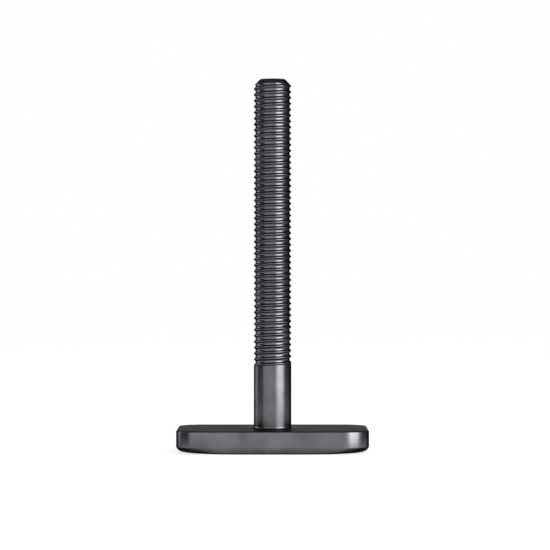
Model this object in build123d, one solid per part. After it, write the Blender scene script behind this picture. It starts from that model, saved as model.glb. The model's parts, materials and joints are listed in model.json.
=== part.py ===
from build123d import *
from math import cos, radians, sin
import os

# T slot bolt: a forged flat head, made in one piece with an upright M8 stud.
# Millimetres. The origin is at the centre of the head's underside: +Z runs up
# the stud, +X along the head's long sides and +Y across the head.

# Head: a plate with rounded corners.
head_length = 40.5
head_width = 27.0
head_thickness = 4.8
corner_radius = 5.4
top_edge_radius = 0.25

# Underside: the forging die doesn't fill the lower corners, so the upright
# sides end above the ground and roll under to a flat with round ends.
roll_height = 1.4
end_inset = 1.4
side_inset = 1.3
roll_sections = 7

# Stud: plain shank and thread are both one cylinder at the thread's outer size.
stud_diameter = 8.0
stud_length = 74.2
tip_chamfer = 1.35
root_radius = 0.35

stud_radius = stud_diameter / 2
flat_width = head_width - 2 * side_inset
flat_length = head_length - 2 * end_inset
flat_corner_radius = 0.99 * min(flat_width, flat_length) / 2


def between(low, high, share):
    """The value that lies the given share of the way from low to high."""
    return low + (high - low) * share


def rolled_section(step):
    """One level of the underside, from the flat (step 0) up to the full plate."""
    angle = radians(90 * step / roll_sections)
    height = roll_height * (1 - cos(angle))
    spread = sin(angle)
    outline = RectangleRounded(
        between(flat_length, head_length, spread),
        between(flat_width, head_width, spread),
        between(flat_corner_radius, corner_radius, spread),
    )
    return Pos(0, 0, height) * outline


def make_head():
    """The plate, with its rolled underside and a light rounding along the top."""
    underside = loft([rolled_section(step) for step in range(roll_sections + 1)])
    plate_outline = Pos(0, 0, roll_height) * RectangleRounded(head_length, head_width, corner_radius)
    plate = extrude(plate_outline, amount=head_thickness - roll_height)
    head = underside + plate
    top_edges = head.edges().group_by(Axis.Z)[-1]
    return fillet(top_edges, top_edge_radius)


def make_stud():
    """The round stud, standing on the head's top, with a chamfered tip."""
    stud = Pos(0, 0, head_thickness) * Cylinder(
        stud_radius, stud_length, align=(Align.CENTER, Align.CENTER, Align.MIN)
    )
    tip_edge = stud.edges().group_by(Axis.Z)[-1]
    return chamfer(tip_edge, tip_chamfer)


def make_bolt():
    """Head and stud as one solid, with a small fillet at the stud's root."""
    bolt = make_head() + make_stud()
    root_edges = [
        edge
        for edge in bolt.edges().filter_by(GeomType.CIRCLE)
        if abs(edge.radius - stud_radius) < 1e-4 and abs(edge.center().Z - head_thickness) < 1e-4
    ]
    return fillet(root_edges, root_radius)


os.makedirs("parts", exist_ok=True)
t_slot_bolt = make_bolt()
export_step(t_slot_bolt, "parts/t_slot_bolt.step")
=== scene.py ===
"""Looks of the t slot bolt: one black-oxide piece with a flat head and a threaded stud.

Metres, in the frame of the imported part: the origin is under the middle of the head,
+Z runs up the stud and the camera looks along +Y.
"""
import json
import math

import bmesh
import bpy
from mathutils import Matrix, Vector

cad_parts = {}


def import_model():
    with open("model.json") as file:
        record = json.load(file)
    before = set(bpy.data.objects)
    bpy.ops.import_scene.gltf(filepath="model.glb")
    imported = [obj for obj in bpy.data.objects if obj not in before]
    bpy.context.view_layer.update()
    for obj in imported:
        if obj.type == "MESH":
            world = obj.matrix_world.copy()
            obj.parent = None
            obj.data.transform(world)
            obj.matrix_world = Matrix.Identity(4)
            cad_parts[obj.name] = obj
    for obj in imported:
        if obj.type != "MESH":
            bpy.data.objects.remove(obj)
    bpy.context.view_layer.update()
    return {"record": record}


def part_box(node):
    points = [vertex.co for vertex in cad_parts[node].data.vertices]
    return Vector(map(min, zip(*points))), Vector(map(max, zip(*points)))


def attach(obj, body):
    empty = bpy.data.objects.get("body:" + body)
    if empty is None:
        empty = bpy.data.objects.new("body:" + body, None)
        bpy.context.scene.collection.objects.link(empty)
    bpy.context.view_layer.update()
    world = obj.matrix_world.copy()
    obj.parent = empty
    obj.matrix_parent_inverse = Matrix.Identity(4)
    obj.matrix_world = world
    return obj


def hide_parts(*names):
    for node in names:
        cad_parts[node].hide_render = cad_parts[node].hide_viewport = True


MM = 0.001
NODE = "t_slot_bolt"
RIGHT_ANGLE = math.radians(90)

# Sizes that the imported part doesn't state, as in the part's own source.
CORNER_RADIUS = 5.4 * MM
TOP_EDGE_RADIUS = 0.25 * MM
ROLL_HEIGHT = 1.4 * MM
END_INSET = 1.4 * MM
SIDE_INSET = 1.3 * MM
ROUND_END = 0.99
TIP_CHAMFER = 1.35 * MM
ROOT_RADIUS = 0.35 * MM

# The rolled underside is an arc of this angle, which leaves a crease below the upright side.
ROLL_ANGLE = math.radians(62)

# Thread: M8x1.25, right-hand, with round grooves and round crests.
PITCH = 1.25 * MM
THREAD_DEPTH = 0.37 * MM
CREST_RADIUS = 0.19 * MM
THREAD_START = 13.075 * MM
FADE_ANGLE = math.radians(60)

# Mesh density. A quarter of the head's outline has SIDE + CORNER + END points.
SIDE_POINTS = 6
CORNER_POINTS = 14
END_POINTS = 8
AROUND = 4 * (SIDE_POINTS + CORNER_POINTS + END_POINTS)
CREST_ROWS = 5
GROOVE_ROWS = 7
ROWS_PER_PITCH = CREST_ROWS + GROOVE_ROWS
ROLL_STEPS = 10
EDGE_STEPS = 4
FACE_STEPS = 4
FILLET_STEPS = 5
WELD_DISTANCE = 0.002 * MM
SHARP_ANGLE = math.radians(40)

# Camera.
CAMERA_DISTANCE = 0.564
EYE_HEIGHT = 0.0388
PIXELS_PER_METRE = 4700.0
FRAME_PIXELS = 550
SENSOR_WIDTH = 36.0

# Shift of the picture, in pixels: the bolt stands a little left of and above the middle.
SHIFT_X_PIXELS = 2.44
SHIFT_Y_PIXELS = -6.75

# Black oxide: blotches of tone and gloss, and a fine grain.
OXIDE_TONES = ((0.3, (0.092, 0.092, 0.099, 1.0)), (0.7, (0.134, 0.134, 0.145, 1.0)))
BLOTCH_SCALE = 240.0
BLOTCH_ROUGHNESS = (0.22, 0.28)
GRAIN_SCALE = 2600.0
GRAIN_DEPTH = 0.01 * MM

# Painted shade: level faces keep a smaller share of the colour of upright ones, which darkens the head's
# top, the rolled underside and the thread's flanks. Level faces are also duller.
PAINTED_SHADE_SLOPES = (0.1, 1.0)
LEVEL_PAINTED_SHADE = 0.45
LEVEL_EXTRA_ROUGHNESS = 0.14

# Studio cards and floor, in metres.
FLAG_RADIUS = 0.125
FLAG_HEIGHT = 0.25
CEILING_HEIGHT = 1.0
CEILING_RADIUS = 1.3
CEILING_HOLE = 0.01
ARC_STEP = 5
FLOOR_REACH = 6.0
FLOOR_EVEN_SHARE = 0.7


# ---------------------------------------------------------------- outlines

def rounded_outline(half_x, half_y, radius):
    """AROUND points on a rounded rectangle, counted anticlockwise from +X."""
    quarter = []
    for k in range(SIDE_POINTS):
        quarter.append((half_x, (half_y - radius) * k / SIDE_POINTS))
    for k in range(CORNER_POINTS):
        a = RIGHT_ANGLE * k / CORNER_POINTS
        quarter.append((half_x - radius + radius * math.cos(a), half_y - radius + radius * math.sin(a)))
    for k in range(END_POINTS):
        quarter.append(((half_x - radius) * (1 - k / END_POINTS), half_y))
    other = [(-x, y) for x, y in [(0.0, half_y)] + quarter[:0:-1]]
    half = quarter + other
    return half + [(-x, -y) for x, y in half]


def circle(radius):
    """AROUND points on a circle, counted anticlockwise from +X."""
    step = 2 * math.pi / AROUND
    return [(radius * math.cos(step * k), radius * math.sin(step * k)) for k in range(AROUND)]


def mix(low, high, share):
    return low + (high - low) * share


def mix_outlines(inner, outer, share):
    return [(mix(a[0], b[0], share), mix(a[1], b[1], share)) for a, b in zip(inner, outer)]


# ---------------------------------------------------------------- the bolt's mesh

def head_rings(size):
    """Level rings of points from the flat under the head to the top face's edge."""
    rings = []
    flat_x = size["half_length"] - END_INSET
    flat_y = size["half_width"] - SIDE_INSET
    flat_radius = ROUND_END * min(flat_x, flat_y)
    for k in range(ROLL_STEPS + 1):
        a = ROLL_ANGLE * k / ROLL_STEPS
        spread = math.sin(a) / math.sin(ROLL_ANGLE)
        outline = rounded_outline(
            mix(flat_x, size["half_length"], spread),
            mix(flat_y, size["half_width"], spread),
            mix(flat_radius, CORNER_RADIUS, spread),
        )
        rings.append((outline, ROLL_HEIGHT * (1 - math.cos(a)) / (1 - math.cos(ROLL_ANGLE))))
    for k in range(EDGE_STEPS + 1):
        a = RIGHT_ANGLE * k / EDGE_STEPS
        inset = TOP_EDGE_RADIUS * (1 - math.cos(a))
        outline = rounded_outline(
            size["half_length"] - inset, size["half_width"] - inset, CORNER_RADIUS - inset
        )
        rings.append((outline, size["head_top"] - TOP_EDGE_RADIUS * (1 - math.sin(a))))
    return rings


def shank_rings(size):
    """Rings from the top face's edge inwards to the root, and up the plain shank."""
    rings = []
    inset = TOP_EDGE_RADIUS
    edge = rounded_outline(size["half_length"] - inset, size["half_width"] - inset, CORNER_RADIUS - inset)
    root = circle(size["stud_radius"] + ROOT_RADIUS)
    for k in range(1, FACE_STEPS + 1):
        rings.append((mix_outlines(edge, root, k / FACE_STEPS), size["head_top"]))
    for k in range(1, FILLET_STEPS + 1):
        a = RIGHT_ANGLE * k / FILLET_STEPS
        radius = size["stud_radius"] + ROOT_RADIUS * (1 - math.sin(a))
        rings.append((circle(radius), size["head_top"] + ROOT_RADIUS * (1 - math.cos(a))))
    return rings


def groove_profile():
    """(share of a pitch, depth) for each row of one thread turn, from crest to crest.

    A round crest and a round groove meet at a common slope.
    """
    slope = 2 * math.atan(THREAD_DEPTH / (PITCH / 2))
    groove_radius = PITCH / 2 / math.sin(slope) - CREST_RADIUS
    rows = []
    for k in range(CREST_ROWS):
        a = mix(-slope, slope, k / CREST_ROWS)
        rows.append((CREST_RADIUS * math.sin(a) / PITCH, CREST_RADIUS * (1 - math.cos(a))))
    for k in range(GROOVE_ROWS):
        a = mix(-slope, slope, k / GROOVE_ROWS)
        share = 0.5 + groove_radius * math.sin(a) / PITCH
        rows.append((share, THREAD_DEPTH - groove_radius * (1 - math.cos(a))))
    return rows


def smooth_step(value):
    t = min(max(value, 0.0), 1.0)
    return t * t * (3 - 2 * t)


def thread_rows(size):
    """Points of the shank, thread and tip, row by row along the thread's own helix.

    A row climbs one pitch in a turn, and its heights are held between the root and the
    tip, so the first and last rows close up into level rings.
    """
    low = size["head_top"] + ROOT_RADIUS
    high = size["tip"]
    start = size["head_top"] + THREAD_START
    turns_below = math.ceil((start - low) / PITCH) + 1
    turns_above = math.ceil((high - start) / PITCH) + 1
    profile = groove_profile()
    rows = []
    for turn in range(-turns_below, turns_above + 1):
        for share, depth in profile:
            row = []
            for k in range(AROUND):
                angle = 2 * math.pi * k / AROUND
                height = start + PITCH * (turn + share + k / AROUND)
                cut = depth * smooth_step((2 * math.pi * turn + angle) / FADE_ANGLE)
                height = min(max(height, low), high)
                cone = size["stud_radius"] - TIP_CHAMFER + (high - height)
                row.append((angle, min(size["stud_radius"] - cut, cone), height))
            rows.append(row)
    return rows


def add_level_rings(mesh, rings):
    """Vertices for each (outline, height), lowest ring first."""
    return [[mesh.verts.new((x, y, height)) for x, y in outline] for outline, height in rings]


def bridge(mesh, lower, upper):
    """A band of faces between two rings."""
    for k in range(AROUND):
        n = (k + 1) % AROUND
        mesh.faces.new((lower[k], lower[n], upper[n], upper[k]))


def cap(mesh, ring, height, upwards):
    """A level fan that closes a ring."""
    middle = mesh.verts.new((0, 0, height))
    for k in range(AROUND):
        n = (k + 1) % AROUND
        mesh.faces.new((ring[k], ring[n], middle) if upwards else (ring[n], ring[k], middle))


def add_thread(mesh, size):
    """The helix rows and their faces. The rows start at the back, a quarter turn on from +X."""
    back = math.pi / 2
    grid = []
    for row in thread_rows(size):
        grid.append([mesh.verts.new((r * math.cos(a + back), r * math.sin(a + back), z)) for a, r, z in row])
    last = len(grid) - 1
    for j in range(last):
        for k in range(AROUND - 1):
            add_quad(mesh, (grid[j][k], grid[j][k + 1], grid[j + 1][k + 1], grid[j + 1][k]))
        # A row's end meets the start of the row one turn higher.
        j_low = min(j + ROWS_PER_PITCH, last)
        j_high = min(j + 1 + ROWS_PER_PITCH, last)
        add_quad(mesh, (grid[j][-1], grid[j_low][0], grid[j_high][0], grid[j + 1][-1]))
    return grid[last]


def add_quad(mesh, corners):
    if len(set(corners)) == 4:
        mesh.faces.new(corners)


def bolt_mesh(size):
    """The whole bolt as one closed mesh."""
    mesh = bmesh.new()
    level_rings = add_level_rings(mesh, head_rings(size) + shank_rings(size))
    cap(mesh, level_rings[0], 0.0, False)
    for lower, upper in zip(level_rings, level_rings[1:]):
        bridge(mesh, lower, upper)

    top_row = add_thread(mesh, size)
    quarter = AROUND // 4
    cap(mesh, top_row[-quarter:] + top_row[:-quarter], size["tip"], True)

    bmesh.ops.remove_doubles(mesh, verts=mesh.verts, dist=WELD_DISTANCE)
    bmesh.ops.dissolve_degenerate(mesh, edges=mesh.edges, dist=WELD_DISTANCE)
    bmesh.ops.recalc_face_normals(mesh, faces=mesh.faces)
    for face in mesh.faces:
        face.smooth = True
    data = bpy.data.meshes.new("bolt")
    mesh.to_mesh(data)
    mesh.free()
    data.set_sharp_from_angle(angle=SHARP_ANGLE)
    mark_crease(data, ROLL_HEIGHT)
    return data


def mark_crease(data, height):
    """Keep a crisp line round the head where the rolled underside meets the side."""
    for edge in data.edges:
        ends = [data.vertices[index].co.z for index in edge.vertices]
        if all(abs(z - height) < WELD_DISTANCE / 2 for z in ends):
            edge.use_edge_sharp = True


# ---------------------------------------------------------------- material

def noise(tree, place, scale, detail):
    """A noise texture fixed to the bolt itself."""
    texture = tree.nodes.new("ShaderNodeTexNoise")
    texture.inputs["Scale"].default_value = scale
    texture.inputs["Detail"].default_value = detail
    tree.links.new(place.outputs["Object"], texture.inputs["Vector"])
    return texture.outputs["Fac"]


def ranged(tree, value, source, target):
    """A value mapped from one (low, high) pair to another."""
    node = tree.nodes.new("ShaderNodeMapRange")
    node.inputs["From Min"].default_value = source[0]
    node.inputs["From Max"].default_value = source[1]
    node.inputs["To Min"].default_value = target[0]
    node.inputs["To Max"].default_value = target[1]
    tree.links.new(value, node.inputs["Value"])
    return node


def blotchy_tone(tree, blotches):
    """The oxide's colour, from darker to lighter blotches."""
    tone = tree.nodes.new("ShaderNodeValToRGB")
    for element, (position, colour) in zip(tone.color_ramp.elements, OXIDE_TONES):
        element.position = position
        element.color = colour
    tree.links.new(blotches, tone.inputs["Fac"])
    return tone.outputs["Color"]


def painted_shade_share(tree, place):
    """Painted shade by slope: 1 on upright faces, falling to the level share on level ones, by the surface's
    own direction.
    """
    split = tree.nodes.new("ShaderNodeSeparateXYZ")
    tree.links.new(place.outputs["Normal"], split.inputs["Vector"])
    slope = tree.nodes.new("ShaderNodeMath")
    slope.operation = "ABSOLUTE"
    tree.links.new(split.outputs["Z"], slope.inputs[0])
    painted_shade = ranged(tree, slope.outputs["Value"], PAINTED_SHADE_SLOPES, (1.0, LEVEL_PAINTED_SHADE))
    painted_shade.interpolation_type = "SMOOTHSTEP"
    return painted_shade.outputs["Result"]


def black_oxide():
    """Black oxide on steel: a dark metal sheen with soft blotches and a fine grain.

    Level and sloping faces carry painted shade, a darker colour than upright ones, and they are also
    rougher.
    """
    material = bpy.data.materials.new("black_oxide_steel")
    material.use_nodes = True
    tree = material.node_tree
    shader = tree.nodes["Principled BSDF"]
    shader.inputs["Metallic"].default_value = 1.0
    shader.inputs["Specular Tint"].default_value = (0.12, 0.12, 0.12, 1.0)
    place = tree.nodes.new("ShaderNodeTexCoord")
    blotches = noise(tree, place, BLOTCH_SCALE, 4.0)
    painted_shade = painted_shade_share(tree, place)

    # Painted shade: the oxide's colour is scaled down on level and sloping faces.
    shade = tree.nodes.new("ShaderNodeVectorMath")
    shade.operation = "SCALE"
    tree.links.new(blotchy_tone(tree, blotches), shade.inputs["Vector"])
    tree.links.new(painted_shade, shade.inputs["Scale"])
    tree.links.new(shade.outputs["Vector"], shader.inputs["Base Color"])

    gloss = ranged(tree, blotches, (0.0, 1.0), BLOTCH_ROUGHNESS)
    dull = ranged(tree, painted_shade, (LEVEL_PAINTED_SHADE, 1.0), (LEVEL_EXTRA_ROUGHNESS, 0.0))
    rough = tree.nodes.new("ShaderNodeMath")
    rough.operation = "ADD"
    tree.links.new(gloss.outputs["Result"], rough.inputs[0])
    tree.links.new(dull.outputs["Result"], rough.inputs[1])
    tree.links.new(rough.outputs["Value"], shader.inputs["Roughness"])

    relief = tree.nodes.new("ShaderNodeBump")
    relief.inputs["Strength"].default_value = 0.35
    relief.inputs["Distance"].default_value = GRAIN_DEPTH
    tree.links.new(noise(tree, place, GRAIN_SCALE, 2.0), relief.inputs["Height"])
    tree.links.new(relief.outputs["Normal"], shader.inputs["Normal"])
    return material


# ---------------------------------------------------------------- studio

def direction(azimuth):
    """Level unit vector: 0 points at the camera, and positive turns towards +X."""
    a = math.radians(azimuth)
    return Vector((math.sin(a), -math.cos(a), 0))


def softbox(name, azimuth, azimuths, height, radiance, distance):
    """An upright rectangular lamp that stands on the floor and faces the bolt."""
    left, right = (distance * math.tan(math.radians(angle - azimuth)) for angle in azimuths)
    lamp = bpy.data.lights.new(name, "AREA")
    lamp.shape = "RECTANGLE"
    lamp.size = right - left
    lamp.size_y = height
    lamp.energy = radiance * math.pi * lamp.size * lamp.size_y
    item = bpy.data.objects.new(name, lamp)
    bpy.context.collection.objects.link(item)
    sideways = direction(azimuth + 90) * (left + right) / 2
    item.location = direction(azimuth) * distance + sideways + Vector((0, 0, height / 2))
    item.rotation_euler = (-direction(azimuth)).to_track_quat("-Z", "Y").to_euler()
    item.visible_camera = False
    return item


def emitting(name, level):
    """A card's plain material, which shows as an even grey."""
    material = bpy.data.materials.new(name)
    material.use_nodes = True
    nodes = material.node_tree.nodes
    nodes.clear()
    glow = nodes.new("ShaderNodeEmission")
    glow.inputs["Color"].default_value = (level, level, level, 1.0)
    out = nodes.new("ShaderNodeOutputMaterial")
    material.node_tree.links.new(glow.outputs["Emission"], out.inputs["Surface"])
    return material


def gloss_card(name, strips, material):
    """A studio card that only gloss shows. strips is a list of rows of corner points."""
    data = bpy.data.meshes.new(name)
    corners = [tuple(p) for strip in strips for p in strip]
    length = len(strips[0])
    faces = []
    for s in range(len(strips) - 1):
        for k in range(length - 1):
            a = s * length + k
            faces.append((a, a + 1, a + 1 + length, a + length))
    data.from_pydata(corners, [], faces)
    data.materials.append(material)
    card = bpy.data.objects.new(name, data)
    bpy.context.collection.objects.link(card)
    card.visible_camera = False
    card.visible_diffuse = False
    card.visible_shadow = False
    return card


def arc_points(azimuth_from, azimuth_to, radius, height):
    """Points on a level arc about the bolt's axis."""
    steps = max(2, round(abs(azimuth_to - azimuth_from) / ARC_STEP))
    return [
        direction(mix(azimuth_from, azimuth_to, k / steps)) * radius + Vector((0, 0, height))
        for k in range(steps + 1)
    ]


def make_cards():
    """Two dark cards just outside the picture, and a grey one over the bolt."""
    dark = emitting("dark_card", 0.13)
    for name, azimuths in (("flag_left", (-104, -57)), ("flag_right", (78, 146))):
        low_edge = arc_points(*azimuths, FLAG_RADIUS, 0.0)
        high_edge = arc_points(*azimuths, FLAG_RADIUS, FLAG_HEIGHT)
        gloss_card(name, [low_edge, high_edge], dark)
    middle = arc_points(-180, 180, CEILING_HOLE, CEILING_HEIGHT)
    rim = arc_points(-180, 180, CEILING_RADIUS, CEILING_HEIGHT)
    gloss_card("ceiling", [middle, rim], emitting("grey_card", 0.28))


def make_floor():
    reach = FLOOR_REACH
    corners = [(-reach, -reach, 0), (reach, -reach, 0), (reach, reach, 0), (-reach, reach, 0)]
    data = bpy.data.meshes.new("floor")
    data.from_pydata(corners, [], [(0, 1, 2, 3)])
    data.materials.append(pale_floor())
    floor = bpy.data.objects.new("floor", data)
    bpy.context.collection.objects.link(floor)


def make_world():
    world = bpy.data.worlds.new("white_set")
    bpy.context.scene.world = world
    world.use_nodes = True
    background = world.node_tree.nodes["Background"]
    background.inputs["Color"].default_value = (1.0, 1.0, 1.0, 1.0)
    background.inputs["Strength"].default_value = 1.0


def make_studio():
    make_cards()
    softbox("key", 43, (16, 76), 0.4, 1.6, 0.35)
    softbox("key_core", 46, (28, 66), 0.25, 4.7, 0.2)
    softbox("fill", -27, (-56, 3), 0.4, 0.5, 0.35)
    softbox("rim", -127, (-150, -106), 0.6, 1.8, 0.5)
    make_floor()
    make_world()


def largest(tree, first, second):
    node = tree.nodes.new("ShaderNodeMath")
    node.operation = "MAXIMUM"
    tree.links.new(first, node.inputs[0])
    tree.links.new(second, node.inputs[1])
    return node.outputs["Value"]


def pale_floor():
    """White floor: the lamps and the bolt's shadow show at a part of their strength.

    The camera, gloss and transmission see the same mix of lit floor and even white.
    """
    pale = bpy.data.materials.new("pale_floor")
    pale.use_nodes = True
    tree = pale.node_tree
    lit = tree.nodes["Principled BSDF"]
    lit.inputs["Base Color"].default_value = (1.0, 1.0, 1.0, 1.0)
    lit.inputs["Roughness"].default_value = 0.9
    lit.inputs["Specular IOR Level"].default_value = 0.1
    glow = tree.nodes.new("ShaderNodeEmission")
    path = tree.nodes.new("ShaderNodeLightPath")
    seen = largest(tree, path.outputs["Is Camera Ray"], path.outputs["Is Glossy Ray"])
    seen = largest(tree, seen, path.outputs["Is Transmission Ray"])
    share = tree.nodes.new("ShaderNodeMath")
    share.operation = "MULTIPLY"
    share.inputs[1].default_value = FLOOR_EVEN_SHARE
    tree.links.new(seen, share.inputs[0])
    both = tree.nodes.new("ShaderNodeMixShader")
    tree.links.new(share.outputs["Value"], both.inputs["Fac"])
    tree.links.new(lit.outputs["BSDF"], both.inputs[1])
    tree.links.new(glow.outputs["Emission"], both.inputs[2])
    tree.links.new(both.outputs["Shader"], tree.nodes["Material Output"].inputs["Surface"])
    return pale


def make_camera():
    data = bpy.data.cameras.new("camera")
    data.sensor_width = SENSOR_WIDTH
    data.lens = PIXELS_PER_METRE * CAMERA_DISTANCE / FRAME_PIXELS * SENSOR_WIDTH
    data.shift_x = SHIFT_X_PIXELS / FRAME_PIXELS
    data.shift_y = SHIFT_Y_PIXELS / FRAME_PIXELS
    camera = bpy.data.objects.new("camera", data)
    bpy.context.collection.objects.link(camera)
    camera.location = (0, -CAMERA_DISTANCE, EYE_HEIGHT)
    camera.rotation_euler = (RIGHT_ANGLE, 0, 0)
    bpy.context.scene.camera = camera


# ---------------------------------------------------------------- the scene


def main():
    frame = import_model()
    mounts = {mount["name"]: mount for mount in frame["record"]["mounts"]}
    low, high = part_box(NODE)
    size = {
        "half_length": high[0],
        "half_width": high[1],
        "tip": high[2],
        "head_top": mounts["head_top"]["pos_m"][2],
        "stud_radius": mounts["stud"]["dims"]["r_mm"] * MM,
    }
    bolt = bpy.data.objects.new("bolt", bolt_mesh(size))
    bpy.context.collection.objects.link(bolt)
    bolt.data.materials.append(black_oxide())
    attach(bolt, "root")
    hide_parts(NODE)

    make_studio()
    make_camera()
    bpy.context.scene.view_settings.view_transform = "Standard"


main()
